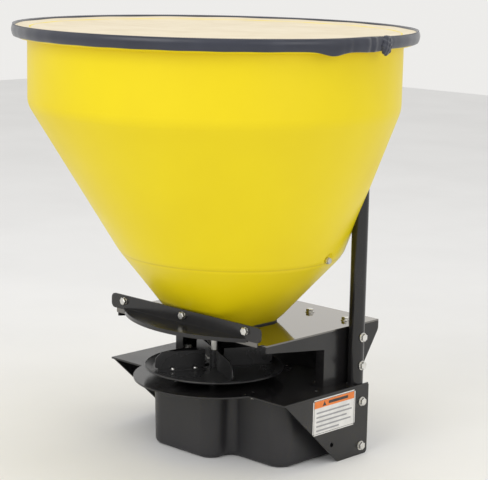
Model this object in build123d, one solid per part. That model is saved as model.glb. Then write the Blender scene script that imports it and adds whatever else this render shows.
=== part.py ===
from build123d import *
import math
import os

# Electric hopper spreader for ice-melt and sand. +X is the label side, -Y is where the
# material is thrown out, +Y is the side that bolts to a vehicle, +Z is up. Millimetres.
# The origin is under the middle of the hopper's mouth, on the ground.

# hopper, a moulded shell: round above, easing to a rounded rectangle at its foot
mouth_radius = 328.0
hopper_wall = 8.0
floor_thickness = 6.0
lip_overhang = 21.0
lip_thickness = 18.0
lip_top_z = 760.0
crease_z = 628.0
fold_radius = 203.6
fold_z = 361.5
fold_center_y = 48.7
base_half_width = 95.0
base_front_room = 27.0
base_rear_y = 119.5
base_corner_radius = 45.0
base_corner_rise = 12.0
base_corner_run = 13.0
socket_top_z = 516.0
socket_wall = 5.0
socket_play = 0.4

# cover and its elastic hem
cover_thickness = 3.5
cover_lift = 0.5
hem_thickness = 4.8
hem_height = 21.0
hem_stand = 2.0
hem_gap = 1.2
tie_width = 30.0
tie_drop = 14.0
tie_angle = 5.5

# sheet steel frame
sheet = 3.0
deck_top_z = 234.0
deck_half_width = 189.4
deck_front_y = -55.0
deck_rear_y = 246.0
tongue_half_width = 178.0
tongue_front_y = -68.5
tongue_flange_top_z = 262.0
side_front_depth = 14.0
leg_front_y = 96.0
window_top_z = 201.0
leg_rear_y = 190.0
wing_high_z = 216.0
wing_round = 16.0
leg_return = 16.4
foot_width = 36.4
foot_end_y = 176.0
gasket_thickness = 3.0
panel_flange = 22.0

# lower bracket
shelf_top_z = 131.8
shelf_front_y = -42.0
bracket_rear_y = 184.5
disc_radius = 147.0
skirt_toe_y = 103.6
skirt_corner = 7.0
side_hole_radius = 4.5
side_hole_y = 86.4
side_hole_z = 34.9
drain_radius = 3.0
drain_x = 126.0
drain_y = -40.0

# uprights
tube_diameter = 29.0
tube_wall = 2.6
tube_foot_z = 4.0
tube_top_gap = 2.0
plug_depth = 14.0

# rear mounting plate
rear_plate_thickness = 4.0
rear_plate_low_z = 12.0
rear_plate_high_z = 118.0
rear_hole_radius = 5.25
rear_hole_span_x = 120.0
rear_hole_span_z = 60.0

# deflector
bar_half_width = 189.0
bar_low_z = 240.0
bar_high_z = 267.0
bar_end_radius = 9.0
brim_half_chord = 155.0
brim_reach = 57.0
brim_lip = 4.0
deflector_bolt_x = 153.6
deflector_bolt_z = 256.5

# drive line
drive_y = 10.0
shaft_radius = 6.0
shaft_foot_z = 81.0
shaft_top_z = 306.0
throat_radius = 30.0
throat_wall = 3.0
throat_drop = 8.0
throat_flange = 5.0
press_gap = 0.3
run_gap = 0.05

# spinner
spinner_floor_z = 145.0
spinner_sheet = 2.5
spinner_flat_radius = 113.0
spinner_radius = 125.0
spinner_rise = 5.0
fin_count = 4
fin_first_angle = 61.5
fin_inner_radius = 18.0
fin_outer_radius = 111.0
fin_height = 34.0
fin_foot = 14.0
fin_corner = 12.0
rivet_radius = 2.5
hub_radius = 9.0
hub_height = 33.0
pin_radius = 2.0
pin_angle = 223.5
clip_radius = 1.0
clip_reach = 22.0

# gear train
module = 2.0
pressure_angle = 25.0
output_teeth = 38
idler_teeth = 40
pinion_teeth = 14
backlash = 0.12
gear_width = 12.0
gear_low_z = 98.0
train_angle = 42.0
case_wall = 3.0
case_low_z = 88.0
case_lid_z = 121.0
motor_radius = 38.0
motor_low_z = 12.0
motor_wall = 3.0
motor_shaft_radius = 5.0

# drive enclosure
enclosure_wall = 4.0
enclosure_draft = 1.5
enclosure_flange = 12.0
enclosure_flange_thickness = 4.0
enclosure_gasket_thickness = 1.0
enclosure_left_x = -99.0
enclosure_step_x = 65.0
enclosure_right_x = 186.0
enclosure_front_y = -61.0
enclosure_step_y = -9.0
enclosure_rear_y = 150.0
enclosure_bottom_round = 9.0

# fasteners
bolt_radius = 4.0
bolt_play = 0.3
bolt_head_width = 12.7
bolt_head_height = 5.3
washer_radius = 8.5
washer_thickness = 1.5
nut_height = 6.0
screw_radius = 2.5

# derived places
deck_bottom_z = deck_top_z - sheet
hopper_base_z = deck_top_z + gasket_thickness
hopper_floor_z = hopper_base_z + floor_thickness
foot_top_z = hopper_base_z + base_corner_rise
base_front_y = drive_y - throat_radius - base_front_room
cone_slope = (fold_radius - base_half_width) / (fold_z - foot_top_z)
lip_low_z = lip_top_z - lip_thickness
lip_radius = mouth_radius + lip_overhang
side_inner_x = deck_half_width - sheet
tube_radius = tube_diameter / 2
tube_x = deck_half_width + tube_radius
skirt_inner_x = deck_half_width + tube_diameter
skirt_outer_x = skirt_inner_x + sheet
tube_y = bracket_rear_y - rear_plate_thickness - tube_radius
tube_top_z = socket_top_z - tube_top_gap
shelf_bottom_z = shelf_top_z - sheet
bar_back_y = tongue_front_y
bar_front_y = bar_back_y - sheet
output_pitch = module * output_teeth / 2
idler_pitch = module * idler_teeth / 2
pinion_pitch = module * pinion_teeth / 2
train_x = math.cos(math.radians(train_angle))
train_y = math.sin(math.radians(train_angle))
idler_reach = output_pitch + idler_pitch
motor_reach = idler_reach + idler_pitch + pinion_pitch
idler_x = idler_reach * train_x
idler_y = drive_y + idler_reach * train_y
motor_x = motor_reach * train_x
motor_y = drive_y + motor_reach * train_y
deck_bolts_at = [(-155.0, 192.0), (-68.6, 192.0), (68.6, 192.0), (155.0, 192.0)]
frame_bolt_heights = [16.8, 99.8, 166.0, 218.0]
shelf_bolts_at = [(168.0, 109.0), (168.0, 164.0)]
hopper_bolts_at = [(-62.0, 36.0), (62.0, 36.0), (-62.0, 82.0), (62.0, 82.0)]

# baffle inside the hopper
rod_y = 81.0
rod_z = 367.0
rod_radius = 5.0
baffle_half_length = 118.0
baffle_front_run = 92.0
baffle_rear_run = 56.0
baffle_drop = 40.0
ear_half_width = 12.0
dimple_radius = 15.0
dimple_depth = 4.0

# label
label_low_y = 33.0
label_high_y = 147.0
label_low_z = 61.0
label_high_z = 126.0
label_thickness = 0.5


def block(x0, x1, y0, y1, z0, z1):
    """A box between two corners."""
    middle = Pos((x0 + x1) / 2, (y0 + y1) / 2, (z0 + z1) / 2)
    return middle * Box(abs(x1 - x0), abs(y1 - y0), abs(z1 - z0))


def rod(x, y, z0, z1, radius):
    """An upright round bar from z0 to z1."""
    return Pos(x, y, (z0 + z1) / 2) * Cylinder(radius, z1 - z0)


def rod_along_x(x0, x1, y, z, radius):
    """A round bar lying along X."""
    return Pos((x0 + x1) / 2, y, z) * Rot(0, 90, 0) * Cylinder(radius, abs(x1 - x0))


def rod_along_y(x, y0, y1, z, radius):
    """A round bar lying along Y."""
    return Pos(x, (y0 + y1) / 2, z) * Rot(90, 0, 0) * Cylinder(radius, abs(y1 - y0))


def ring(x, y, z0, z1, outer, inner):
    """An upright tube from z0 to z1."""
    return rod(x, y, z0, z1, outer) - rod(x, y, z0 - 1, z1 + 1, inner)


def hexagon(across_flats, height):
    """A hexagon prism standing on z = 0, with its top corners eased."""
    corner = across_flats / math.sqrt(3)
    prism = Pos(0, 0, height / 2) * extrude(RegularPolygon(corner, 6), height / 2, both=True)
    dome = Pos(0, 0, height / 2) * Cylinder(corner, height)
    return prism & chamfer(dome.edges().sort_by(Axis.Z)[-1], corner * 0.1)


def bolt(length, radius=bolt_radius, head=bolt_head_width, washer=washer_radius):
    """A hexagon bolt with its washer. The joint face is z = 0, the head above, the shank below."""
    disc = Pos(0, 0, washer_thickness / 2) * Cylinder(washer, washer_thickness)
    top = Pos(0, 0, washer_thickness) * hexagon(head, bolt_head_height)
    shank = Pos(0, 0, -length / 2) * Cylinder(radius, length)
    return disc + top + shank


def nut(radius=bolt_radius, width=bolt_head_width, height=nut_height):
    """A hexagon nut under z = 0."""
    body = Pos(0, 0, -height) * hexagon(width, height)
    return body - Pos(0, 0, -height / 2) * Cylinder(radius, height + 2)


def both_sides(shape):
    """A shape and its mirror image across the middle plane."""
    return [shape, mirror(shape, Plane.YZ)]


def save(name, solids):
    """Write one node, a single solid or a group of separate solids."""
    found = []
    for solid in solids if isinstance(solids, list) else [solids]:
        found.extend(solid.solids())
    whole = found[0] if len(found) == 1 else Compound(children=found)
    export_step(whole, f"parts/{name}.step")


# ------------------------------------------------------------------ hopper

def foot_outline(z, grow):
    """The rounded rectangle of the hopper's foot at a height, made larger on every side."""
    width = (base_half_width + grow) * 2
    depth = base_rear_y - base_front_y + grow * 2
    middle_y = (base_rear_y + base_front_y) / 2
    return Pos(0, middle_y, z) * RectangleRounded(width, depth, base_corner_radius + grow)


def round_outline(z, center_y, radius):
    return Pos(0, center_y, z) * Circle(radius)


def hopper_body(shrink, foot, top_z):
    """The hopper's form above its foot: a squared cone, a round cone and a straight band."""
    fold = round_outline(fold_z, fold_center_y, fold_radius - shrink)
    crease = round_outline(crease_z, 0.0, mouth_radius - shrink)
    rim = round_outline(top_z, 0.0, mouth_radius - shrink)
    return loft([foot, fold], ruled=True) + loft([fold, crease, rim], ruled=True)


def hopper():
    foot_top = foot_outline(foot_top_z, 0)
    outer = hopper_body(0, foot_top, lip_low_z + 1)
    outer += loft([foot_outline(hopper_base_z, -base_corner_run), foot_top], ruled=True)
    lip = ring(0, 0, lip_low_z, lip_top_z, lip_radius, mouth_radius - hopper_wall)
    lip = fillet(lip.edges().filter_by(GeomType.CIRCLE).group_by(SortBy.RADIUS)[-1], lip_thickness * 0.4)
    floor_shrink = hopper_wall + cone_slope * (foot_top_z - hopper_floor_z)
    cavity = hopper_body(hopper_wall, foot_outline(hopper_floor_z, -floor_shrink), lip_top_z + 5)
    for sign in (-1, 1):
        post = rod(sign * tube_x, tube_y, fold_z, socket_top_z + socket_wall, tube_radius + socket_wall)
        cavity -= post
    body = outer + lip - cavity
    for sign in (-1, 1):
        body -= rod(sign * tube_x, tube_y, fold_z, socket_top_z, tube_radius + socket_play)
        body -= Pos(dimple_center_x() * sign, rod_y, rod_z) * Sphere(dimple_radius)
    body -= rod_along_x(-mouth_radius, mouth_radius, rod_y, rod_z, rod_radius + bolt_play)
    body -= rod(0, drive_y, hopper_base_z - 1, hopper_floor_z + 1, throat_radius + throat_wall + press_gap)
    for x, y in hopper_bolts_at:
        body -= rod(x, y, hopper_base_z - 1, hopper_floor_z + 1, bolt_radius + bolt_play)
    return body


def rod_face_x():
    """Where the hopper's outer face crosses the baffle rod's line."""
    part = (rod_z - fold_z) / (crease_z - fold_z)
    radius = fold_radius + (mouth_radius - fold_radius) * part
    center = fold_center_y * (1 - part)
    return math.sqrt(radius ** 2 - (rod_y - center) ** 2)


def dimple_center_x():
    """Middle of the round dimple pressed into the hopper's side."""
    return rod_face_x() - dimple_depth + dimple_radius


def baffle_rod():
    end = rod_face_x() - dimple_depth + 9.0
    return rod_along_x(-end, end, rod_y, rod_z, rod_radius)


def baffle_nuts():
    face = rod_face_x() - dimple_depth
    cap = Rot(0, 90, 0) * (hexagon(11.0, 5.0) - Cylinder(rod_radius, 20))
    return both_sides(Pos(face + 1.6, rod_y, rod_z) * cap)


def baffle():
    """A roof of sheet steel that hangs on the rod and keeps the load off the feed opening."""
    top = rod_z + rod_radius + 2
    outline = Polyline(
        (rod_y - baffle_front_run, top - baffle_drop),
        (rod_y, top),
        (rod_y + baffle_rear_run, top - baffle_drop * 0.7),
        (rod_y + baffle_rear_run, top - baffle_drop * 0.7 + sheet),
        (rod_y, top + sheet * 1.4),
        (rod_y - baffle_front_run, top - baffle_drop + sheet),
        close=True,
    )
    roof = extrude(Plane.YZ * make_face(outline), baffle_half_length, both=True)
    ear_outline = Polyline(
        (rod_y - ear_half_width, rod_z - ear_half_width),
        (rod_y + ear_half_width, rod_z - ear_half_width),
        (rod_y + ear_half_width, top - ear_half_width * 0.5 + sheet / 2),
        (rod_y, top + sheet / 2),
        (rod_y - ear_half_width, top - ear_half_width * baffle_drop / baffle_front_run + sheet / 2),
        close=True,
    )
    ear = extrude(Plane.YZ * make_face(ear_outline), sheet)
    ear -= rod_along_x(-sheet, sheet * 2, rod_y, rod_z, rod_radius)
    roof += Pos(baffle_half_length - sheet, 0, 0) * ear
    roof += Pos(-baffle_half_length, 0, 0) * ear
    return roof


def hopper_gasket():
    pad = extrude(foot_outline(deck_top_z, -base_corner_run), gasket_thickness)
    pad -= rod(0, drive_y, deck_top_z - 1, hopper_base_z + 1, throat_radius + throat_wall + press_gap)
    for x, y in hopper_bolts_at:
        pad -= rod(x, y, deck_top_z - 1, hopper_base_z + 1, bolt_radius + bolt_play)
    return pad


def hopper_bolts():
    length = hopper_floor_z - deck_bottom_z + nut_height + 2
    return [Pos(x, y, hopper_floor_z) * bolt(length, washer=7.5) for x, y in hopper_bolts_at]


def hopper_nuts():
    return [Pos(x, y, deck_bottom_z) * nut() for x, y in hopper_bolts_at]


def throat_liner():
    """A flanged plastic sleeve that lines the feed opening."""
    outer = throat_radius + throat_wall
    sleeve = ring(0, drive_y, deck_bottom_z - throat_drop, hopper_floor_z, outer, throat_radius)
    flange_top = hopper_floor_z + throat_wall * 0.75
    return sleeve + ring(0, drive_y, hopper_floor_z, flange_top, outer + throat_flange, throat_radius)


# ------------------------------------------------------------------ cover

def cover_low_z():
    return lip_top_z + cover_lift


def cover():
    """The stretched fabric top, a thin round disc over the lip."""
    return rod(0, 0, cover_low_z(), cover_low_z() + cover_thickness, lip_radius + hem_gap - 0.2)


def cover_hem():
    """The elastic band that runs round the cover's edge."""
    inner = lip_radius + hem_gap
    top = cover_low_z() + cover_thickness + hem_stand
    band = ring(0, 0, top - hem_height, top, inner + hem_thickness, inner)
    return fillet(band.edges().filter_by(GeomType.CIRCLE).group_by(SortBy.RADIUS)[-1], hem_thickness * 0.4)


def cover_tie():
    """The gathered end of the elastic, which hangs under the hem."""
    inner = lip_radius + hem_gap
    top = cover_low_z() + cover_thickness + hem_stand - hem_height
    piece = block(0, inner + hem_thickness, -tie_width / 2, tie_width / 2, top - tie_drop, top)
    piece &= ring(0, 0, top - tie_drop - 1, top + 1, inner + hem_thickness, inner)
    return Rot(0, 0, tie_angle) * piece


# ------------------------------------------------------------------ upper bracket

def deck():
    """The flat deck under the hopper, its front tongue and the tongue's upturned flange."""
    plate = block(-deck_half_width, deck_half_width, deck_front_y, deck_rear_y, deck_bottom_z, deck_top_z)
    plate += block(-tongue_half_width, tongue_half_width, tongue_front_y, deck_front_y,
                   deck_bottom_z, deck_top_z)
    plate += block(-tongue_half_width, tongue_half_width, tongue_front_y, tongue_front_y + sheet,
                   deck_bottom_z, tongue_flange_top_z)
    plate -= rod(0, drive_y, deck_bottom_z - 1, deck_top_z + 1, throat_radius + throat_wall + press_gap)
    for x, y in deck_bolts_at + hopper_bolts_at:
        plate -= rod(x, y, deck_bottom_z - 1, deck_top_z + 1, bolt_radius + bolt_play)
    for x in (-deflector_bolt_x, 0, deflector_bolt_x):
        plate -= rod_along_y(x, tongue_front_y - 1, tongue_front_y + sheet + 1, deflector_bolt_z,
                             bolt_radius + bolt_play)
    return plate


def deck_side():
    """One folded side, welded under the deck's edge, with its leg, rear wing, return and foot."""
    outline = Polyline(
        (deck_front_y, deck_bottom_z),
        (deck_front_y, deck_top_z - side_front_depth),
        (leg_front_y, window_top_z),
        (leg_front_y, shelf_top_z),
        (leg_rear_y, shelf_top_z),
        (deck_rear_y, wing_high_z),
        (deck_rear_y, deck_bottom_z),
        close=True,
    )
    side = Pos(side_inner_x, 0, 0) * extrude(Plane.YZ * make_face(outline), sheet)
    wing = side.edges().filter_by(Axis.X).sort_by_distance((side_inner_x, deck_rear_y, wing_high_z))[0]
    side = fillet(wing, wing_round)
    side += block(side_inner_x - leg_return, side_inner_x, leg_front_y, leg_front_y + sheet,
                  shelf_top_z, window_top_z)
    side += block(side_inner_x - foot_width, side_inner_x, leg_front_y, foot_end_y,
                  shelf_top_z, shelf_top_z + sheet)
    for x, y in shelf_bolts_at:
        side -= rod(x, y, shelf_top_z - 1, shelf_top_z + sheet + 1, bolt_radius + bolt_play)
    for z in frame_bolt_heights:
        side -= rod_along_x(side_inner_x - 1, deck_half_width + 1, tube_y, z, bolt_radius + bolt_play)
    return side


def back_panel():
    """The wall behind the spinner, with a top flange bolted under the deck."""
    low_y = foot_end_y + 4
    panel = block(-side_inner_x, side_inner_x, low_y, low_y + sheet, shelf_top_z, deck_bottom_z)
    panel += block(-side_inner_x, side_inner_x, low_y, low_y + panel_flange,
                   deck_bottom_z - sheet, deck_bottom_z)
    for x, y in deck_bolts_at:
        panel -= rod(x, y, deck_bottom_z - sheet - 1, deck_bottom_z + 1, bolt_radius + bolt_play)
    return panel


def deck_bolts():
    length = sheet * 2 + nut_height + 2
    return [Pos(x, y, deck_top_z) * bolt(length) for x, y in deck_bolts_at]


def deck_nuts():
    return [Pos(x, y, deck_bottom_z - sheet) * nut() for x, y in deck_bolts_at]


# ------------------------------------------------------------------ deflector

def deflector():
    """A flat bar with rounded ends and a curved brim that turns the cast down."""
    middle_z = (bar_low_z + bar_high_z) / 2
    profile = RectangleRounded(bar_half_width * 2, bar_high_z - bar_low_z, bar_end_radius)
    bar = Pos(0, bar_back_y, middle_z) * Rot(90, 0, 0) * extrude(profile, sheet)
    brim_radius = (brim_half_chord ** 2 + brim_reach ** 2) / (2 * brim_reach)
    center_y = bar_front_y - brim_reach + brim_radius
    brim = rod(0, center_y, bar_low_z, bar_low_z + sheet, brim_radius)
    lip = ring(0, center_y, bar_low_z - brim_lip, bar_low_z + sheet, brim_radius, brim_radius - sheet)
    keep = block(-brim_half_chord, brim_half_chord, bar_front_y - brim_reach - 1, bar_front_y,
                 bar_low_z - brim_lip, bar_low_z + sheet)
    plate = bar + ((brim + lip) & keep)
    for x in (-deflector_bolt_x, 0, deflector_bolt_x):
        plate -= rod_along_y(x, bar_front_y - 1, bar_back_y + 1, deflector_bolt_z, bolt_radius + bolt_play)
    return plate


def deflector_bolts():
    length = sheet * 2 + 3.5
    found = []
    for x in (-deflector_bolt_x, 0, deflector_bolt_x):
        found.append(Pos(x, bar_front_y, deflector_bolt_z) * Rot(90, 0, 0) * bolt(length, washer=7.0))
    return found


def deflector_nuts():
    thin = nut(width=11.0, height=2.5)
    found = []
    for x in (-deflector_bolt_x, 0, deflector_bolt_x):
        found.append(Pos(x, tongue_front_y + sheet, deflector_bolt_z) * Rot(90, 0, 0) * thin)
    return found


# ------------------------------------------------------------------ lower bracket

def side_plate():
    """One side plate of the lower bracket, welded under the shelf's edge."""
    slope = (skirt_toe_y - shelf_front_y) / shelf_top_z
    outline = Polyline(
        (shelf_front_y + slope * sheet, shelf_bottom_z),
        (skirt_toe_y, 0),
        (bracket_rear_y, 0),
        (bracket_rear_y, shelf_bottom_z),
        close=True,
    )
    plate = Pos(skirt_inner_x, 0, 0) * extrude(Plane.YZ * make_face(outline), sheet)
    heel = plate.edges().filter_by(Axis.X).sort_by_distance((skirt_inner_x, bracket_rear_y, 0))[0]
    plate = fillet(heel, skirt_corner)
    plate -= rod_along_x(skirt_inner_x - 1, skirt_outer_x + 1, side_hole_y, side_hole_z, side_hole_radius)
    for z in frame_bolt_heights[:2]:
        plate -= rod_along_x(skirt_inner_x - 1, skirt_outer_x + 1, tube_y, z, bolt_radius + bolt_play)
    return plate


def shelf():
    """The flat shelf with its round apron under the spinner."""
    plate = block(-skirt_outer_x, skirt_outer_x, shelf_front_y, bracket_rear_y, shelf_bottom_z, shelf_top_z)
    plate += rod(0, drive_y, shelf_bottom_z, shelf_top_z, disc_radius)
    notch_front = tube_y - tube_radius - 0.5
    for sign in (-1, 1):
        plate -= block(sign * deck_half_width, sign * skirt_inner_x, notch_front, bracket_rear_y + 1,
                       shelf_bottom_z - 1, shelf_top_z + 1)
        plate -= rod(sign * drain_x, drain_y, shelf_bottom_z - 1, shelf_top_z + 1, drain_radius)
        for x, y in shelf_bolts_at:
            plate -= rod(sign * x, y, shelf_bottom_z - 1, shelf_top_z + 1, bolt_radius + bolt_play)
        corner_edges = plate.edges().filter_by(Axis.Z)
        corner = corner_edges.sort_by_distance((sign * skirt_outer_x, bracket_rear_y, shelf_bottom_z))[0]
        plate = chamfer(corner, sheet / 2)
    plate -= rod(0, drive_y, shelf_bottom_z - 1, shelf_top_z + 1, seal_radius())
    for x, y in enclosure_screw_places():
        plate -= rod(x, y, shelf_bottom_z - 1, shelf_top_z + 1, screw_radius + bolt_play)
    return plate


def shelf_bolts():
    """Bolts that thread into the shelf, flush underneath."""
    length = sheet * 2
    found = []
    for x, y in shelf_bolts_at:
        found += both_sides(Pos(x, y, shelf_top_z + sheet) * bolt(length))
    return found


def rear_plate():
    """The plate across the back that bolts to a vehicle's hitch adapter."""
    plate = block(-skirt_inner_x, skirt_inner_x, bracket_rear_y - rear_plate_thickness, bracket_rear_y,
                  rear_plate_low_z, rear_plate_high_z)
    middle = (rear_plate_low_z + rear_plate_high_z) / 2
    for x in (-rear_hole_span_x / 2, rear_hole_span_x / 2):
        for z in (middle - rear_hole_span_z / 2, middle + rear_hole_span_z / 2):
            plate -= rod_along_y(x, bracket_rear_y - rear_plate_thickness - 1, bracket_rear_y + 1, z,
                                 rear_hole_radius)
    return plate


def safety_label():
    """A stuck-on plate with no words."""
    return block(skirt_outer_x, skirt_outer_x + label_thickness, label_low_y, label_high_y,
                 label_low_z, label_high_z)


# ------------------------------------------------------------------ uprights

def upright():
    """A round steel tube, bolted between the brackets and pushed into the hopper's socket."""
    tube = ring(tube_x, tube_y, tube_foot_z, tube_top_z, tube_radius, tube_radius - tube_wall)
    for z in frame_bolt_heights:
        tube -= rod_along_x(tube_x - tube_radius - 1, tube_x + tube_radius + 1, tube_y, z,
                            bolt_radius + bolt_play)
    return tube


def tube_plugs():
    """Plastic plugs in the lower ends of the tubes."""
    head = rod(tube_x, tube_y, tube_foot_z - sheet, tube_foot_z, tube_radius)
    low_bolt = frame_bolt_heights[0] - bolt_radius - 1
    stem_top = min(tube_foot_z + plug_depth, low_bolt)
    stem = rod(tube_x, tube_y, tube_foot_z, stem_top, tube_radius - tube_wall)
    return both_sides(head + stem)


def frame_bolts():
    """Bolts across each upright; the lower ones also pass the side plates."""
    found = []
    for number, z in enumerate(frame_bolt_heights):
        lower = number < 2
        seat = skirt_outer_x if lower else skirt_inner_x
        end = deck_half_width if lower else side_inner_x
        length = seat - end + nut_height + 2
        found += both_sides(Pos(seat, tube_y, z) * Rot(0, 90, 0) * bolt(length))
    return found


def frame_nuts():
    found = []
    for number, z in enumerate(frame_bolt_heights):
        end = deck_half_width if number < 2 else side_inner_x
        found += both_sides(Pos(end, tube_y, z) * Rot(0, 90, 0) * nut())
    return found


# ------------------------------------------------------------------ spinner and shaft

def drive_shaft():
    return chamfer(rod(0, drive_y, shaft_foot_z, shaft_top_z, shaft_radius).edges(), 0.8) - pin_hole()


def agitator():
    """Two crossed fingers through the shaft that keep the load moving."""
    low = hopper_floor_z + 20
    high = low + 26
    lower = rod_along_x(-30, 30, drive_y, low, 3)
    upper = rod_along_y(0, drive_y - 34, drive_y + 34, high, 3)
    hole = rod(0, drive_y, low - 20, high + 20, shaft_radius)
    return [lower - hole, upper - hole]


def spinner_dish():
    """A pressed dish with a rolled rim."""
    low = spinner_floor_z
    top = low + spinner_rise
    outline = Polyline(
        (shaft_radius, low),
        (spinner_flat_radius, low),
        (spinner_radius, top),
        (spinner_radius - spinner_sheet * 0.6, top + spinner_sheet),
        (spinner_flat_radius - 1, low + spinner_sheet),
        (shaft_radius, low + spinner_sheet),
        close=True,
    )
    dish = revolve(Plane.XZ * make_face(outline), Axis.Z)
    roll = Pos(0, 0, top + spinner_sheet / 2) * Torus(spinner_radius, spinner_sheet * 0.8)
    return Pos(0, drive_y, 0) * (dish + roll)


def fin():
    """One blade of bent sheet with its foot, along +X."""
    low = spinner_floor_z + spinner_sheet
    high = low + fin_height
    outline = Polyline(
        (fin_inner_radius, low),
        (fin_outer_radius - fin_corner, low),
        (fin_outer_radius, low + fin_corner / 2),
        (fin_outer_radius, high - fin_corner),
        (fin_outer_radius - fin_corner, high),
        (fin_inner_radius, high),
        close=True,
    )
    blade = extrude(Plane.XZ * make_face(outline), spinner_sheet / 2, both=True)
    foot_end = spinner_flat_radius - 3
    foot = block(fin_inner_radius, foot_end, -spinner_sheet / 2, fin_foot, low, low + spinner_sheet)
    return blade + foot


def spinner_fins():
    turns = [fin_first_angle + 360 * number / fin_count for number in range(fin_count)]
    return [Pos(0, drive_y, 0) * Rot(0, 0, turn) * fin() for turn in turns]


def spinner_rivets():
    """Domed rivets that hold each fin's foot."""
    seat = spinner_floor_z + spinner_sheet * 2
    found = []
    for number in range(fin_count):
        turn = Pos(0, drive_y, 0) * Rot(0, 0, fin_first_angle + 360 * number / fin_count)
        for radius in (38.0, 80.0):
            dome = Sphere(rivet_radius * 1.6) & block(-9, 9, -9, 9, 0, 9)
            found.append(turn * Pos(radius, fin_foot / 2 + 1, seat) * dome)
    return found


def spinner_hub():
    """The collar that clamps the dish on the shaft."""
    low = spinner_floor_z + spinner_sheet
    collar = ring(0, drive_y, low, low + hub_height, hub_radius, shaft_radius)
    return collar - pin_hole()


def pin_z():
    return spinner_floor_z + spinner_sheet + hub_height / 2


def pin_hole():
    """The cross hole for the pin, turned to the pin's angle about the shaft."""
    hole = rod_along_x(-hub_radius * 2, hub_radius * 2, 0, pin_z(), pin_radius)
    return Pos(0, drive_y, 0) * Rot(0, 0, pin_angle) * hole


def hub_pin():
    """The pin that ties the collar to the shaft, with a head at one end and its wire clip."""
    reach = hub_radius + 4
    pin = rod_along_x(-reach, reach, 0, pin_z(), pin_radius)
    pin += rod_along_x(-reach, 2 - reach, 0, pin_z(), pin_radius * 2)
    wire = Pos(0, 0, clip_reach / 2) * Cylinder(clip_radius, clip_reach + clip_radius * 2)
    wire = Pos(reach - clip_radius * 2, 0, pin_z()) * Rot(0, 45, 0) * wire
    return Pos(0, drive_y, 0) * Rot(0, 0, pin_angle) * (pin + wire)


def seal_radius():
    return shaft_radius * 2.4


def shaft_seal():
    """The rubber lip seal where the shaft passes the shelf."""
    return ring(0, drive_y, shelf_bottom_z, shelf_top_z + 2, seal_radius(), shaft_radius + run_gap)


# ------------------------------------------------------------------ gear train

def gear(teeth, first_tooth_angle, bore):
    """A spur gear with involute flanks. One tooth is centred on the given angle."""
    pitch = module * teeth / 2
    base = pitch * math.cos(math.radians(pressure_angle))
    root = pitch - module * 1.25
    tip = pitch + module * 0.95
    slack = backlash / pitch
    pressure = math.radians(pressure_angle)
    half_at_pitch = math.pi / (2 * teeth) - slack
    start = max(base, root)
    flank = []
    for step in range(5):
        radius = start + (tip - start) * step / 4
        angle = math.acos(min(1.0, base / radius))
        half = half_at_pitch + (math.tan(pressure) - pressure) - (math.tan(angle) - angle)
        flank.append((radius, half))
    points = []
    for number in range(teeth):
        middle = math.radians(first_tooth_angle) + 2 * math.pi * number / teeth
        side = [(root, flank[0][1])] if root < start else []
        side += flank
        for radius, half in side:
            points.append((radius * math.cos(middle - half), radius * math.sin(middle - half)))
        for radius, half in reversed(side):
            points.append((radius * math.cos(middle + half), radius * math.sin(middle + half)))
    wheel = extrude(make_face(Polyline(*points, close=True)), gear_width)
    return wheel - Pos(0, 0, gear_width / 2) * Cylinder(bore, gear_width + 2)


def lightened(wheel, pitch):
    """A wheel with five round holes through its web."""
    for number in range(5):
        turn = math.radians(72 * number)
        x, y = pitch * 0.56 * math.cos(turn), pitch * 0.56 * math.sin(turn)
        wheel -= rod(x, y, -1, gear_width + 1, pitch * 0.16)
    return wheel


def output_gear():
    wheel = gear(output_teeth, train_angle, shaft_radius)
    return Pos(0, drive_y, gear_low_z) * lightened(wheel, output_pitch)


def idler_gear():
    half_pitch = 180 / idler_teeth
    wheel = gear(idler_teeth, train_angle + 180 + half_pitch, idler_pin_radius() + run_gap)
    return Pos(idler_x, idler_y, gear_low_z) * lightened(wheel, idler_pitch)


def idler_pin_radius():
    return shaft_radius * 0.75


def idler_pin():
    return rod(idler_x, idler_y, case_low_z + case_wall, case_lid_z, idler_pin_radius())


def motor_pinion():
    wheel = gear(pinion_teeth, train_angle + 180, motor_shaft_radius)
    return Pos(motor_x, motor_y, gear_low_z) * wheel


def case_outline(grow):
    """Three overlapping rounds, one for each gear."""
    tip = module + case_wall + grow
    outline = Pos(0, drive_y) * Circle(output_pitch + tip)
    outline += Pos(idler_x, idler_y) * Circle(idler_pitch + tip)
    outline += Pos(motor_x, motor_y) * Circle(pinion_pitch + tip)
    return outline


def gearbox_case():
    """The cast lower half of the gearbox."""
    case = Pos(0, 0, case_low_z) * extrude(case_outline(0), case_lid_z - case_low_z)
    case -= Pos(0, 0, case_low_z + case_wall) * extrude(case_outline(1 - case_wall), case_lid_z)
    case += rod(0, drive_y, case_low_z - 8, case_low_z + case_wall, bearing_radius() + case_wall)
    case -= rod(0, drive_y, case_low_z - 9, case_low_z + case_wall + 1, bearing_radius())
    case -= rod(motor_x, motor_y, case_low_z - 1, case_low_z + case_wall + 1, motor_shaft_radius * 2)
    return case


def bearing_radius():
    return shaft_radius * 2


def gearbox_cover():
    """The flat upper half, fixed under the shelf."""
    lid = Pos(0, 0, case_lid_z) * extrude(case_outline(0), shelf_bottom_z - case_lid_z)
    return lid - rod(0, drive_y, case_lid_z - 1, shelf_bottom_z + 1, bearing_radius())


def bearing(low_z, high_z):
    """A sealed ball bearing as one ring."""
    return ring(0, drive_y, low_z, high_z, bearing_radius(), shaft_radius + run_gap)


def motor_can():
    """The steel drum of the motor, open at its lower end."""
    can = rod(motor_x, motor_y, motor_low_z + motor_wall * 2, case_low_z, motor_radius)
    can -= rod(motor_x, motor_y, motor_low_z, case_low_z - motor_wall, motor_radius - motor_wall)
    return can - rod(motor_x, motor_y, motor_low_z, case_low_z + 1, motor_shaft_radius + run_gap)


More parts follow.
